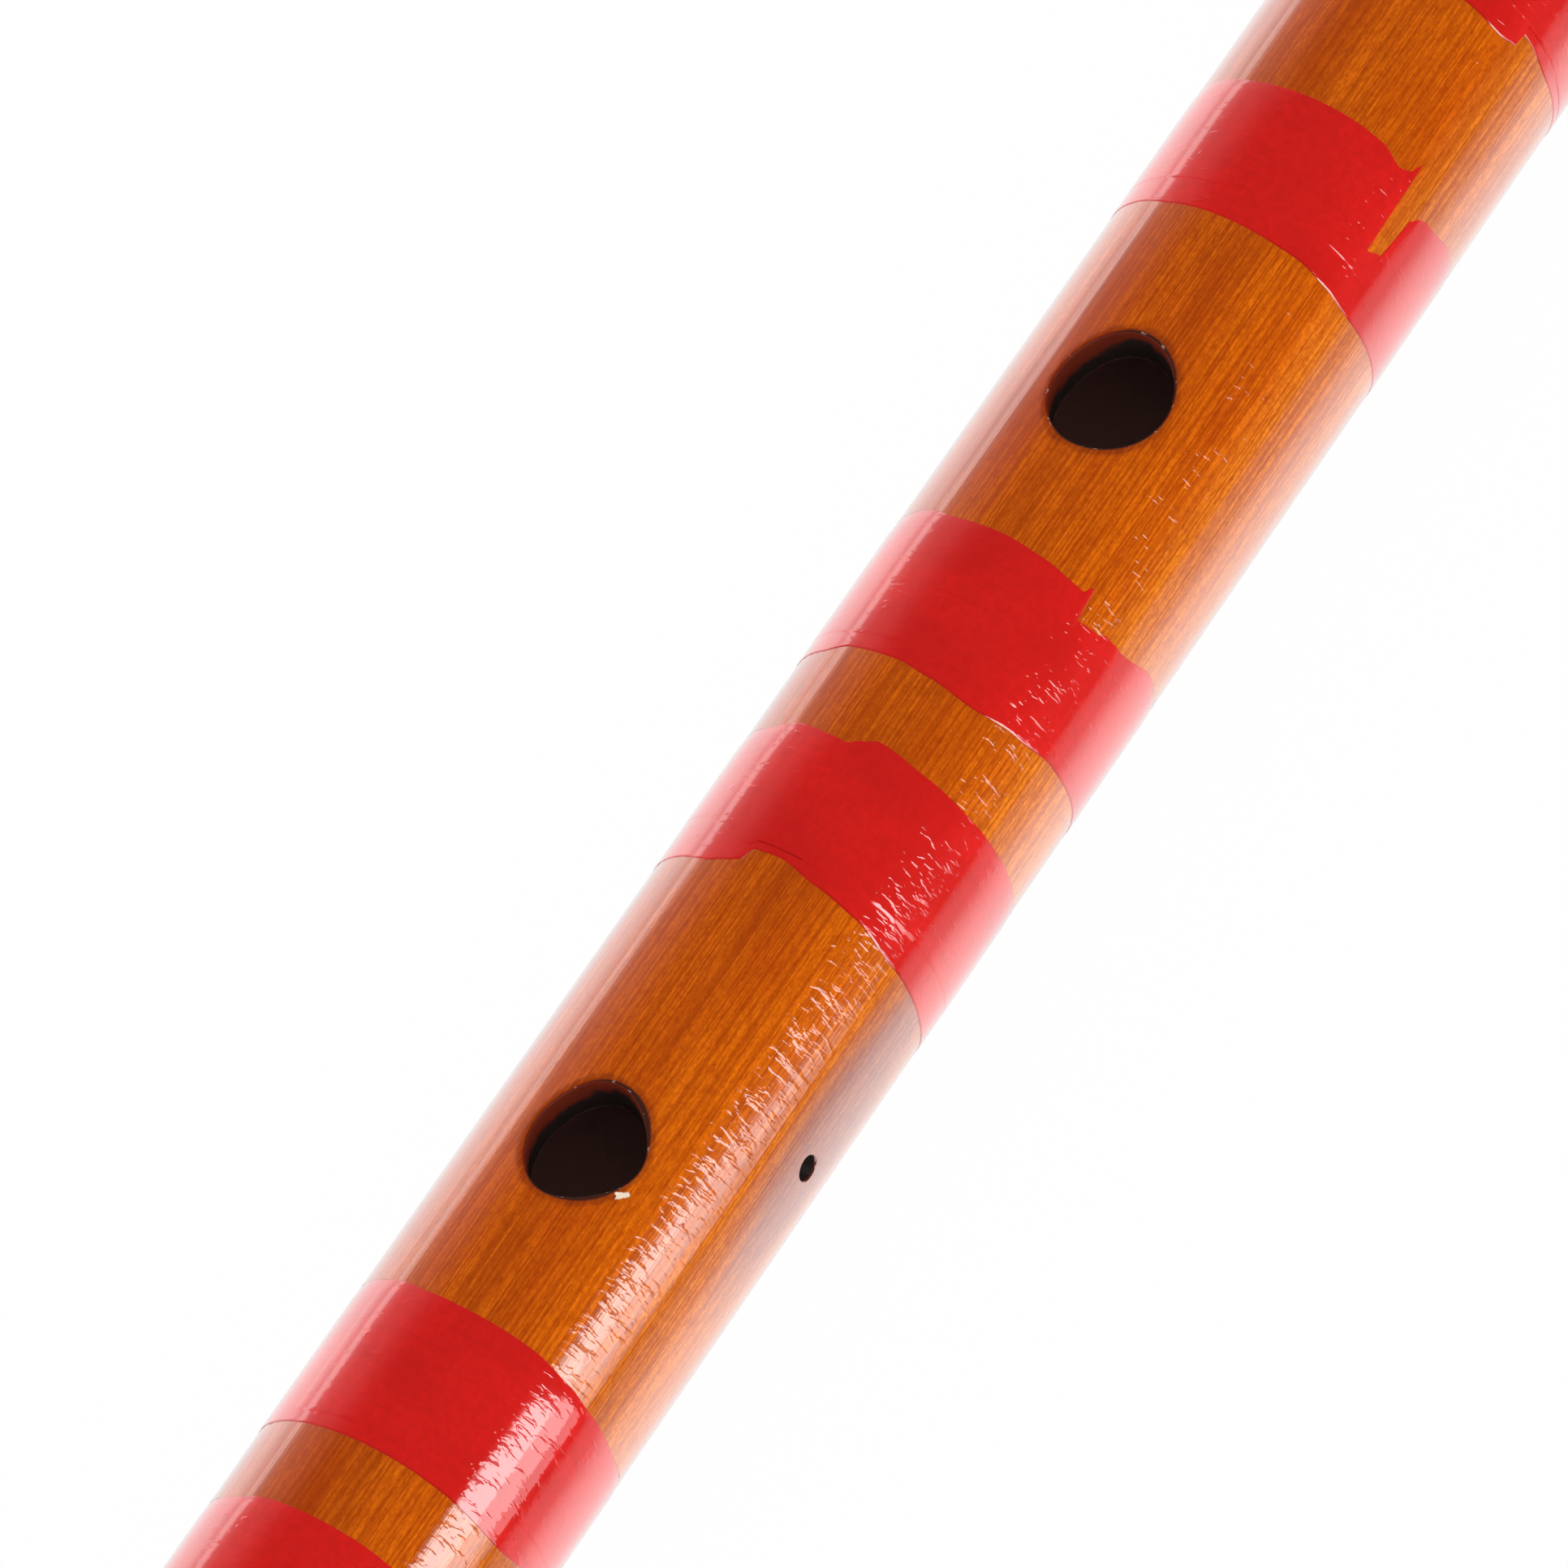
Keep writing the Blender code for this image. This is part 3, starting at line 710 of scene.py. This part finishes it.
def hole_cutter(hole, radius, rounding, bore_radius):
    """A plug for one hole: straight walls, then a rim that rolls over onto the round surface.

    Each level is a growth of the hole's outline, and a height above or below the round surface.
    """
    rise = rounding * 0.4
    levels = []
    for step in range(RIM_STEPS + 1):
        turn = RIM_ROLL * step / RIM_STEPS
        levels.append((rounding * (1 - math.cos(turn)), -rounding * (1 - math.sin(turn))))
    levels.append((levels[-1][0] + rise * math.tan(RIM_ROLL), levels[-1][1] + rise))

    bm = bmesh.new()
    step_layer = bm.verts.layers.int.new("step")
    ring = []
    for step in range(HOLE_STEPS):
        u, v = hole_point(hole, 2 * math.pi * step / HOLE_STEPS, 0.0)
        ring.append(bm.verts.new((u, v, bore_radius * 0.4)))
        ring[-1][step_layer] = step
    edges = [bm.edges.new((ring[i - 1], ring[i])) for i in range(HOLE_STEPS)]
    bmesh.ops.holes_fill(bm, edges=edges, sides=0)
    for grow, above in levels + [(levels[-1][0], None)]:
        new = bmesh.ops.extrude_edge_only(bm, edges=edges)["geom"]
        for vert in (part for part in new if isinstance(part, bmesh.types.BMVert)):
            u, v = hole_point(hole, 2 * math.pi * vert[step_layer] / HOLE_STEPS, grow)
            on_surface = math.sqrt(radius ** 2 - v ** 2)
            vert.co = (u, v, radius + 0.002 if above is None else on_surface + above)
        edges = [part for part in new if isinstance(part, bmesh.types.BMEdge) and part.is_boundary]
    bmesh.ops.holes_fill(bm, edges=edges, sides=0)
    bmesh.ops.recalc_face_normals(bm, faces=bm.faces[:])
    return bm


def pin_hole_cutter(radius):
    """A plug for the small blind hole, with a rounded floor and a rim that opens out."""
    floor, top = radius - PIN_HOLE_DEPTH, radius + 0.001
    wall, rim = PIN_HOLE_RADIUS, PIN_HOLE_RIM
    bend = (0.5, 1.0, 1.57)
    return turned([
        (0.0, floor),
        *((wall * math.sin(turn), floor + PIN_HOLE_BEND * (1 - math.cos(turn))) for turn in bend),
        (wall, radius - rim),
        (wall + rim * 0.35, radius - rim * 0.3),
        (wall + rim * 1.6, radius + rim * 0.5),
        (wall + rim * 1.6, top),
        (0.0, top),
    ], steps=32, closed=False, axis=(0.0, 0.0, 1.0))


def placed_cutter(name, plug, place, angle):
    """A plug as an object, turned to its angle round the flute and moved to its place along it."""
    move = Matrix.Translation((along(place), 0.0, AXIS_HEIGHT))
    turn = Matrix.Rotation(math.radians(angle), 4, "X")
    bmesh.ops.transform(plug, matrix=move @ turn, verts=plug.verts[:])
    return link_object(f"cutter_{name}", plug)


def cut(piece, cutters):
    """Cut a piece by other objects, keep the result as its mesh, and remove the cutters."""
    group = bpy.data.collections.new("hole_cutters")
    bpy.context.scene.collection.children.link(group)
    for cutter in cutters:
        bpy.context.scene.collection.objects.unlink(cutter)
        group.objects.link(cutter)
    holes = piece.modifiers.new("holes", "BOOLEAN")
    holes.operation = "DIFFERENCE"
    holes.solver = "EXACT"
    holes.operand_type = "COLLECTION"
    holes.collection = group
    depsgraph = bpy.context.evaluated_depsgraph_get()
    mesh = bpy.data.meshes.new_from_object(piece.evaluated_get(depsgraph))
    piece.modifiers.clear()
    piece.data = mesh
    mesh.name = piece.name
    for cutter in cutters:
        bpy.data.objects.remove(cutter)
    bpy.data.collections.remove(group)


def outward(point):
    """From the flute's axis straight out to a point."""
    return Vector((0.0, point.y, point.z - AXIS_HEIGHT))


def smooth_round(piece, body_radius, bore_radius):
    """Shade the tube's outside and bore as true rounds, whatever faces the holes left."""
    mesh = piece.data
    mesh.shade_smooth()
    mesh.set_sharp_from_angle(angle=TUBE_SHARP)
    outside = []
    for vert in mesh.vertices:
        across = outward(vert.co)
        gap = abs(across.length - tube_radius(vert.co.x, body_radius))
        outside.append(across.normalized() if gap < ON_SURFACE else None)
    shown = [corner.vector.copy() for corner in mesh.corner_normals]
    for face in mesh.polygons:
        for index in face.loop_indices:
            vertex = mesh.loops[index].vertex_index
            straight_out = outside[vertex]
            if straight_out and straight_out.dot(shown[index]) > 0.75:
                shown[index] = straight_out
            elif straight_out is None and face.normal.x ** 2 < 0.0001:
                inward = -outward(mesh.vertices[vertex].co)
                on_bore = abs(inward.length - bore_radius) < ON_SURFACE
                if on_bore and inward.normalized().dot(face.normal) > 0.99:
                    shown[index] = inward.normalized()
    mesh.normals_split_custom_set(shown)


def lacquer_inside(piece, body_radius):
    """Give the second material to each face that lies below the rims of the holes."""
    for face in piece.data.polygons:
        depth = tube_radius(face.center.x, body_radius) - outward(face.center).length
        face.material_index = int(depth > RIM_DEPTH)


class DIZI_OT_make_tube(bpy.types.Operator):
    """Turn the bamboo, cut its holes and round their rims"""

    bl_idname = "dizi.make_tube"
    bl_label = "Bamboo tube"

    def execute(self, context):
        sizes, colours = chosen(context)
        body, bore = sizes.body_diameter / 2, sizes.bore_diameter / 2
        head_shoulder, tail_shoulder = HEAD_END + RING_LENGTH, TAIL_END - RING_LENGTH
        spigot = RING_LENGTH - RING_LIP - SEAT_CLEARANCE
        tail_radius = tube_radius(tail_shoulder, body)
        bm = turned([
            (head_shoulder - spigot, bore),
            (head_shoulder - spigot, body - RING_SEAT_STEP),
            (head_shoulder, body - RING_SEAT_STEP),
            (head_shoulder, body),
            (along(TAPER_START), body),
            (tail_shoulder, tail_radius),
            (tail_shoulder, tail_radius - RING_SEAT_STEP),
            (tail_shoulder + spigot, tail_radius - RING_SEAT_STEP),
            (tail_shoulder + spigot, bore),
        ])
        bmesh.ops.translate(bm, verts=bm.verts[:], vec=(0.0, 0.0, AXIS_HEIGHT))
        tube = link_object("bamboo_body", bm, varnished_bamboo(sizes, colours))
        tube.data.materials.append(lacquered_bore(sizes, colours))
        cutters = []
        for name, place, angle, *hole in HOLES:
            plug = hole_cutter(hole, tube_radius(along(place), body), sizes.hole_round, bore)
            cutters.append(placed_cutter(name, plug, place, angle))
        cutters.append(placed_cutter("pin_hole", pin_hole_cutter(body), *PIN_HOLE))
        cut(tube, cutters)
        smooth_round(tube, body, bore)
        lacquer_inside(tube, body)
        dress(tube, "flute", "bamboo_tube")
        return {"FINISHED"}


def eased(points, angle):
    """The value at an angle of a closed round of (angle, value) points, eased between them."""
    after = [index for index, (at, _) in enumerate(points) if at > angle]
    index = after[0] if after else 0
    (low, first), (high, second) = points[index - 1], points[index]
    if index == 0:
        low -= 360
        angle = angle if after else angle - 360
    share = (angle - low) / (high - low)
    return first + (second - first) * share * share * (3 - 2 * share)


def wander(angle, number):
    """How far a hand-wound edge strays from its place, in its own way on each binding."""
    turn = math.radians(angle)
    return EDGE_WANDER * (math.sin(turn + 2.4 * number) + math.sin(3 * turn + 1.7 * number) / 2)


class FilmEdges:
    """Where one binding's film begins, ends and laps over itself at each angle round the flute."""

    def __init__(self, number, near, far):
        self.number = number
        self.near_place = near
        self.far_place = far
        self.loose_end = LOOSE_ENDS.get(number, LOOSE_END_UNDER)
        self.lap_span = 150 + 37 * (number % 4)

    def since_end(self, angle):
        """Degrees on from the loose end, from 0 to 360."""
        return (angle - self.loose_end) % 360.0

    def near(self, angle):
        if self.number in NEAR_EDGES:
            return self.near_place + eased(NEAR_EDGES[self.number], angle) / 1000
        return self.near_place + wander(angle, self.number)

    def far(self, angle):
        if self.number in FAR_EDGES:
            return self.far_place + eased(FAR_EDGES[self.number], angle) / 1000
        since = self.since_end(angle)
        spur = SPUR_LENGTH * max(0.0, 1 - (360 - since) / SPUR_DEGREES)
        drift = WINDING_DRIFT * (1 - since / 360)
        return self.far_place - drift + spur + wander(angle, self.number + 1)

    def lap(self, angle):
        if self.number in LAP_EDGES:
            return self.near_place + eased(LAP_EDGES[self.number], angle) / 1000
        turn = math.radians(angle)
        sway = 0.0007 * math.sin(turn + self.number) + 0.0003 * math.sin(2 * turn)
        return self.near_place + LAP_SHIFT + sway

    def double(self, angle):
        """One where the upper turn lies on the lower ones, and nought past the loose end."""
        since = self.since_end(angle)
        return 1.0 - since if since <= 1.0 else clamped(since - (360 - self.lap_span))


def film_columns():
    """Places across the film, close together at its edges and at the lap."""
    rim = [0.0, 0.00003, 0.00007, 0.00011, 0.00016, 0.00024, 0.00038, RIM_ZONE]
    lap = [LAP_PLACE + LAP_ZONE * share for share in (-2, -1, -1 / 3, 1 / 3, 1, 2)]
    before = [RIM_ZONE + (lap[0] - RIM_ZONE) * step / 3 for step in range(1, 3)]
    far_rim = [FILM_WIDTH - place for place in reversed(rim)]
    after = [lap[-1] + (far_rim[0] - lap[-1]) * step / 4 for step in range(1, 4)]
    return rim + before + lap + after + far_rim


def film_height(place):
    """Share of the film's height at a place across it. Its near edge is round, its far one thin."""
    from_near, from_far = place / FILM_EDGE, (FILM_WIDTH - place) / RIM_ZONE
    if from_near < 1.0:
        return math.sqrt(1 - (1 - from_near) ** 2)
    return FAR_EDGE_SHARE + (1 - FAR_EDGE_SHARE) * min(from_far, 1.0) if from_far > 0.0 else 0.0


def laid_out(place, near, lap, far):
    """Where a place across the plain film lands between its edges at one angle."""
    knots = (
        (0.0, near),
        (RIM_ZONE, near + RIM_ZONE),
        (LAP_PLACE - 2 * LAP_ZONE, lap - 2 * LAP_ZONE),
        (LAP_PLACE + 2 * LAP_ZONE, lap + 2 * LAP_ZONE),
        (FILM_WIDTH - RIM_ZONE, far - RIM_ZONE),
        (FILM_WIDTH, far),
    )
    for (low, first), (high, second) in zip(knots, knots[1:]):
        if place <= high:
            return first + (second - first) * (place - low) / (high - low)
    return far


def plain_winding():
    """The film's section spun round the tube, a binding before its edges are drawn."""
    outer = [(place, 1.0 + film_height(place)) for place in film_columns()]
    return turned(outer + [(FILM_WIDTH, 0.5), (FILM_WIDTH / 2, 0.5), (0.0, 0.5)], FILM_STEPS)


def binding_mesh(winding, edges, sizes):
    """One binding: a copy of the plain winding, drawn to its own hand-wound edges."""
    bm = winding.copy()
    # The strip along the near edge, which the film's material darkens as painted shade
    rim = bm.verts.layers.float.new("shaded_film_rim")
    at = {}
    for vert in bm.verts:
        place = vert.co.x
        height = math.hypot(vert.co.y, vert.co.z) - 1.0
        angle = round(angle_of(vert.co))
        if angle not in at:
            at[angle] = (edges.near(angle), edges.lap(angle), edges.far(angle), edges.double(angle))
        near, lap, far, double = at[angle]
        x = laid_out(place, near, lap, far)
        radius = tube_radius(x, sizes.body_diameter / 2)
        if height < -0.25:
            radius -= FILM_SUNK
        else:
            lapped = clamped((place - (LAP_PLACE - LAP_ZONE)) / (2 * LAP_ZONE))
            radius += height * (sizes.film_thickness + sizes.film_step * lapped * double)
        turn = math.radians(angle)
        vert.co = (x, -radius * math.sin(turn), radius * math.cos(turn))
        vert[rim] = max(0.0, 1 - place / SHADED_RIM_WIDTH)
    bmesh.ops.recalc_face_normals(bm, faces=bm.faces[:])
    return bm


class DIZI_OT_make_bindings(bpy.types.Operator):
    """Wind the sixteen red film bindings round the tube"""

    bl_idname = "dizi.make_bindings"
    bl_label = "Film bindings"

    def execute(self, context):
        sizes, colours = chosen(context)
        film = varnished_film(sizes, colours)
        winding = plain_winding()
        names = sorted(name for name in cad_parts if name.startswith("binding_"))
        for number, name in enumerate(names, start=1):
            low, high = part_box(name)
            middle = (low.x + high.x) / 2
            edges = FilmEdges(number, middle - FILM_WIDTH / 2, middle + FILM_WIDTH / 2)
            bm = binding_mesh(winding, edges, sizes)
            add_piece(f"film_{name}", bm, film, "flute", name)
        winding.free()
        return {"FINISHED"}


class DIZI_OT_make_end_rings(bpy.types.Operator):
    """Turn the ring on each end of the flute"""

    bl_idname = "dizi.make_end_rings"
    bl_label = "End rings"

    def execute(self, context):
        sizes, colours = chosen(context)
        bone = polished_bone(colours)
        body, bore = sizes.body_diameter / 2, sizes.bore_diameter / 2
        for node, end, inwards in (("head_ring", HEAD_END, 1.0), ("tail_ring", TAIL_END, -1.0)):
            shoulder = end + inwards * (RING_LENGTH - SEAT_CLEARANCE)
            lip = end + inwards * RING_LIP
            seat = tube_radius(end, body) - RING_SEAT_STEP + SEAT_CLEARANCE / 2
            flare = inwards * MOUTH_FLARE
            outside, edge = sizes.ring_radius, sizes.ring_edge
            bm = turned([
                (lip, bore),
                *((end + flare * (1 - math.sin(turn)), bore + MOUTH_FLARE * (1 - math.cos(turn)))
                  for turn in (0.0, 0.4, 0.8, 1.2, math.pi / 2)),
                *quarter_round(end, outside, edge, inwards),
                *reversed(quarter_round(shoulder, outside, edge / 2, -inwards)),
                (shoulder, seat),
                (lip, seat),
            ])
            add_piece(f"turned_{node}", bm, bone, "flute", node)
        return {"FINISHED"}


class DIZI_OT_make_stopper(bpy.types.Operator):
    """Cut the cork that closes the bore"""

    bl_idname = "dizi.make_stopper"
    bl_label = "Cork stopper"

    def execute(self, context):
        sizes, colours = chosen(context)
        low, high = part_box("head_stopper")
        radius = sizes.bore_diameter / 2 - SEAT_CLEARANCE
        bm = turned([
            (low.x, 0.0),
            (low.x, radius * 0.5),
            *quarter_round(low.x, radius, STOPPER_EDGE, 1.0),
            *reversed(quarter_round(high.x, radius, STOPPER_EDGE, -1.0)),
            (high.x, radius * 0.5),
            (high.x, 0.0),
        ], steps=96, closed=False)
        cork = natural_cork(colours)
        add_piece("cork_stopper", bm, cork, "stopper", "head_stopper")
        return {"FINISHED"}


def seen_or_mirrored(tree):
    """One for a ray from the camera, in a mirror or through glass."""
    path = add_node(tree, "LightPath")
    seen = maths(tree, "MAXIMUM", path.outputs["Is Camera Ray"], path.outputs["Is Glossy Ray"])
    return path, maths(tree, "MAXIMUM", seen, path.outputs["Is Transmission Ray"])


def studio_floor(colours):
    """White paper: the background shows as white, and the floor keeps the flute's soft shadow.

    In the varnish the paper grows dim towards the softbox's side, and over the middle distance
    behind the flute.
    """
    material, tree, place = new_material("studio_floor")
    path, seen = seen_or_mirrored(tree)
    across = part_of(tree, place, "Y")
    near = between(tree, across, -0.050, -0.016, 0.0, 0.70)
    wide = between(tree, across, -0.180, -0.030, 0.0, 0.30)
    behind = between(tree, across, 0.07, 0.24, 1.0, 0.66)
    behind = maths(tree, "ADD", behind, between(tree, across, 0.40, 1.00, 0.0, 0.34))
    bright = maths(tree, "MULTIPLY", maths(tree, "ADD", near, wide), behind)
    straight = maths(tree, "SUBTRACT", 1.0, path.outputs["Is Glossy Ray"])
    white = add_node(tree, "Emission", {
        "Color": WHITE,
        "Strength": maths(tree, "MAXIMUM", bright, straight),
    })
    paper = add_node(tree, "BsdfDiffuse", {"Color": colours.floor})
    mixed_shader = add_node(tree, "MixShader", {
        0: maths(tree, "MULTIPLY", seen, 1.0 - SHADOW_SHARE),
        1: paper.outputs["BSDF"],
        2: white.outputs["Emission"],
    })
    add_node(tree, "OutputMaterial", {"Surface": mixed_shader.outputs["Shader"]})
    return material


def light_world():
    """Soft even light, white behind the flute.

    The varnish mirrors a dark ceiling over a pale wall, which lies on the far side only.
    """
    world = bpy.data.worlds.new("studio")
    world.use_nodes = True
    tree = world.node_tree
    tree.nodes.clear()
    path, seen = seen_or_mirrored(tree)
    direction = add_node(tree, "TexCoord").outputs["Generated"]
    up = part_of(tree, direction, "Z")
    wall = between(tree, up, 0.045, 0.115, 1.0, 0.26)
    for low, high, fall in ((0.09, 0.27, -0.14), (0.20, 0.75, -0.12)):
        wall = maths(tree, "ADD", wall, between(tree, up, low, high, 0.0, fall))
    far_side = between(tree, part_of(tree, direction, "Y"), -0.15, 0.15)
    mirrored = maths(tree, "MULTIPLY", wall, far_side)
    shown = between(tree, path.outputs["Is Glossy Ray"], 0.0, 1.0, 1.0, mirrored, smooth=False)
    level = between(tree, seen, 0.0, 1.0, WORLD_STRENGTH, shown, smooth=False)
    background = add_node(tree, "Background", {"Color": WHITE, "Strength": level})
    add_node(tree, "OutputWorld", {"Surface": background.outputs["Background"]})
    bpy.context.scene.world = world


def add_softbox(name, middle, along_x, upright, power, facing, mirrored):
    """A soft lamp that stands upright and faces the flute. Part of it may be under the floor."""
    lamp = bpy.data.lights.new(name, "AREA")
    lamp.shape = "RECTANGLE"
    lamp.size, lamp.size_y = along_x, upright
    lamp.energy = power
    made = bpy.data.objects.new(name, lamp)
    made.location = middle
    made.rotation_euler = (math.radians(90.0), 0.0, math.radians(facing))
    made.visible_camera = False
    made.visible_glossy = mirrored
    bpy.context.scene.collection.objects.link(made)


def photo_camera():
    """The camera that took the photograph, as far as the photograph tells."""
    lens = bpy.data.cameras.new("photo_camera")
    lens.sensor_width = 36.0
    lens.lens = CAMERA_LENS
    lens.clip_start = 0.01
    camera = bpy.data.objects.new("photo_camera", lens)
    right, up = Vector(CAMERA_RIGHT), Vector(CAMERA_UP)
    back = right.cross(up).normalized()
    turn = Matrix((right, back.cross(right).normalized(), back)).transposed().to_4x4()
    camera.matrix_world = Matrix.Translation(CAMERA_PLACE) @ turn
    bpy.context.scene.collection.objects.link(camera)
    return camera


class DIZI_OT_make_stage(bpy.types.Operator):
    """Lay the floor, light the flute and place the camera"""

    bl_idname = "dizi.make_stage"
    bl_label = "Stage, light and camera"

    def execute(self, context):
        scene = context.scene
        bm = bmesh.new()
        bmesh.ops.create_grid(bm, x_segments=1, y_segments=1, size=FLOOR_REACH)
        floor = link_object("studio_floor", bm, studio_floor(scene.dizi_colours))
        light_world()
        for softbox in SOFTBOXES:
            add_softbox(*softbox)
        scene.camera = photo_camera()
        scene.view_settings.view_transform = "Standard"
        return {"FINISHED"}


class DIZI_PT_panel(bpy.types.Panel):
    """Sizes, colours and pieces of the flute"""

    bl_idname = "DIZI_PT_panel"
    bl_label = "Dizi"
    bl_space_type = "VIEW_3D"
    bl_region_type = "UI"
    bl_category = "Dizi"

    def draw(self, context):
        layout = self.layout
        for group in chosen(context):
            box = layout.box()
            for name in group.__annotations__:
                box.prop(group, name)
        for operator in OPERATORS:
            layout.operator(operator.bl_idname)


OPERATORS = (
    DIZI_OT_make_tube,
    DIZI_OT_make_bindings,
    DIZI_OT_make_end_rings,
    DIZI_OT_make_stopper,
    DIZI_OT_make_stage,
)
CLASSES = (DiziSizes, DiziColours, *OPERATORS, DIZI_PT_panel)


def register():
    for kind in CLASSES:
        bpy.utils.register_class(kind)
    bpy.types.Scene.dizi_sizes = PointerProperty(type=DiziSizes)
    bpy.types.Scene.dizi_colours = PointerProperty(type=DiziColours)


def unregister():
    del bpy.types.Scene.dizi_colours
    del bpy.types.Scene.dizi_sizes
    for kind in reversed(CLASSES):
        bpy.utils.unregister_class(kind)


def main():
    register()
    bpy.ops.dizi.make_stage()
    bpy.ops.dizi.make_tube()
    bpy.ops.dizi.make_bindings()
    bpy.ops.dizi.make_end_rings()
    bpy.ops.dizi.make_stopper()


if __name__ == "__main__":
    main()
